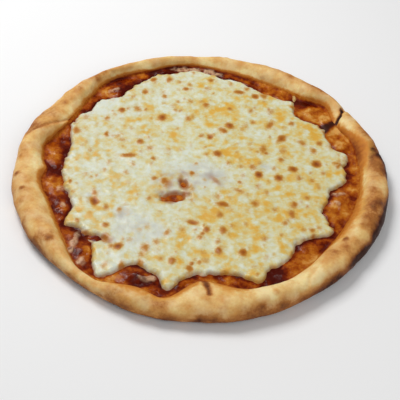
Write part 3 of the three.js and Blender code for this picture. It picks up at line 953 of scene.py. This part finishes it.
def cheese_looks(points, inside):
    """Attributes of the cheese at level points, and how far its blisters rise or have sunk."""
    turned = points @ TILT
    curled = points + CURL * flat(lumps(turned, CURL_SIZE), lumps(turned + 40, CURL_SIZE))
    squeezed = curled / SPOT_REACH
    browned = np.maximum(0.68 * freckles(squeezed, *FRECKLES), 0.4 * freckles(squeezed, *FINE_FRECKLES))
    blobs = 0.8 * freckles(curled, *BLOBS) + 0.5 * freckles(curled, *SMALL_BLOBS)
    curds = freckles(curled, *CURDS)
    blister = 0.6 * browned + 0.3 * blobs + 0.42 * curds

    broken = 0.92 + 0.85 * lumps(turned, 4.4) + 0.3 * lumps(turned, 2.4)
    fatty = 1 - np.exp(-fat_tone(points, curled, blobs) / 1.05)
    golden = GOLD_MEAN + GOLD_TO_RIGHT * points[:, 0] + 1.16 * fatty * broken - 0.22 * curds
    for n, (radius, strong, close, ring) in enumerate(named_spots(points, turned)):
        browned = np.maximum(browned, strong * close)
        golden = np.maximum(golden, 0.8 * strong * ring)
        blister += (0.6 if n % 3 else -0.5) * radius / 3 * close

    patchy = 1 + 0.9 * lumps(turned, 7) + 0.6 * lumps(turned, 3.3)
    thin_sheen_and_shade = thin_sheen_and_shade_tone(points, patchy)
    bits = (oval_gap(points, SHREDS) < 1.5) * (1 + 0.5 * lumps(turned, 3))
    golden = np.clip(golden - 0.6 * thin_sheen_and_shade + 0.3 * bits, 0, 1)
    thin = thin_tone(points, inside, bits)
    for *oval, strength in SEEN_THROUGH:
        sauce = strength * oval_bell(points, *oval) * np.clip(patchy, 0.7, 1.3)
        thin = np.maximum(thin, 0.8 * sauce)
        thin_sheen_and_shade = np.maximum(thin_sheen_and_shade, 1.2 * sauce)
    return {"browned": browned, "golden": golden, "thin_sheen_and_shade": thin_sheen_and_shade, "thin": thin}, blister


def cheese_piece():
    share, bearing, quads = disc_net(CHEESE_NET)
    points = polar(share * (1 + CROWDING * (1 - share)) * sauce_reach(bearing), bearing, 0.0)
    inside = edge_distance(points)
    looks, blister = cheese_looks(points, inside)
    settled = smoothstep(inside, 0, SETTLED)
    height = lerp(sauce_height(points), SAUCE_TOP, settled)
    height += settled * (relief(points, CHEESE_RELIEF) + blister)
    lip = np.clip(inside / LIP, 0, 1)
    height += (CHEESE_TOP - SAUCE_TOP) * lip * (2 - lip) - np.clip(-DIVE * inside, 0, BURIED - EDGE_WALL)
    points[:, 2] = height

    quads = quads[(inside[quads] > -BURIED / DIVE).any(axis=1)]
    used = np.unique(quads)
    renumbered = np.full(len(points), -1)
    renumbered[used] = np.arange(len(used))
    points, quads, triangles = closed_below(points[used], renumbered[quads], SAUCE_TOP - BURIED)
    below = np.zeros(len(points) - len(used))
    looks = {key: np.concatenate([values[used], below]) for key, values in looks.items()}
    add_piece("melted_cheese", points, quads, triangles, looks, cheese_material(), "cheese")


# ---------------------------------------------------------------------------------------------------
# Camera, light and floor
# ---------------------------------------------------------------------------------------------------
FRAME_PX, SENSOR_MM = 400, 36
FOCAL_PX = 926
CAMERA_DISTANCE = 0.75
ELEVATION, ROLL = 43.24, 3.5
AIM_BELOW, AIM_RIGHT = 1.868, 0.077  # degrees from the middle of the pizza to the middle of the frame
TARGET = Vector((0, 0, 0.010))
# Square softboxes: name, place and side in metres, watts
SOFTBOXES = [("key", (-0.45, 0.45, 1.0), 0.5, 9.9), ("fill", (0.5, -0.8, 0.8), 0.8, 3.5)]
ROOM_LIGHT = 0.3
FLOOR_HALF, FLOOR_LEVEL = 3.0, -0.0001
FLOOR_GREY = (240, 240, 240)


def add_camera():
    data = bpy.data.cameras.new("camera")
    data.sensor_width = SENSOR_MM
    data.lens = SENSOR_MM * FOCAL_PX / FRAME_PX
    camera = bpy.data.objects.new("camera", data)
    bpy.context.scene.collection.objects.link(camera)
    e = math.radians(ELEVATION)
    place = TARGET + CAMERA_DISTANCE * Vector((0, -math.cos(e), math.sin(e)))
    tilt = Matrix.Rotation(math.radians(90 - ELEVATION - AIM_BELOW), 4, "X")
    pan = Matrix.Rotation(math.radians(-AIM_RIGHT), 4, "Z")
    roll = Matrix.Rotation(math.radians(ROLL), 4, "Z")
    camera.matrix_world = Matrix.Translation(place) @ pan @ tilt @ roll
    bpy.context.scene.camera = camera


def add_softbox(name, place, side, power):
    data = bpy.data.lights.new(name, "AREA")
    data.shape = "SQUARE"
    data.size = side
    data.energy = power
    lamp = bpy.data.objects.new(name, data)
    bpy.context.scene.collection.objects.link(lamp)
    lamp.location = place
    lamp.rotation_euler = (TARGET - Vector(place)).to_track_quat("-Z", "Y").to_euler()


def add_studio():
    scene = bpy.context.scene
    scene.view_settings.view_transform = "Standard"
    scene.world = bpy.data.worlds.new("studio")
    scene.world.use_nodes = True
    background = scene.world.node_tree.nodes["Background"]
    background.inputs["Color"].default_value = (1, 1, 1, 1)
    background.inputs["Strength"].default_value = ROOM_LIGHT
    for softbox in SOFTBOXES:
        add_softbox(*softbox)


def add_floor():
    mesh = bpy.data.meshes.new("floor")
    signs = [(-1, -1), (1, -1), (1, 1), (-1, 1)]
    corners = [(x * FLOOR_HALF, y * FLOOR_HALF, FLOOR_LEVEL) for x, y in signs]
    mesh.from_pydata(corners, [], [(0, 1, 2, 3)])
    m = Recipe("pale_floor")
    mesh.materials.append(m.finish(Base_Color=linear(*FLOOR_GREY), Roughness=0.9))
    floor = bpy.data.objects.new("floor", mesh)
    bpy.context.scene.collection.objects.link(floor)


add_camera()
add_studio()
add_floor()
crust_piece()
sauce_piece()
cheese_piece()
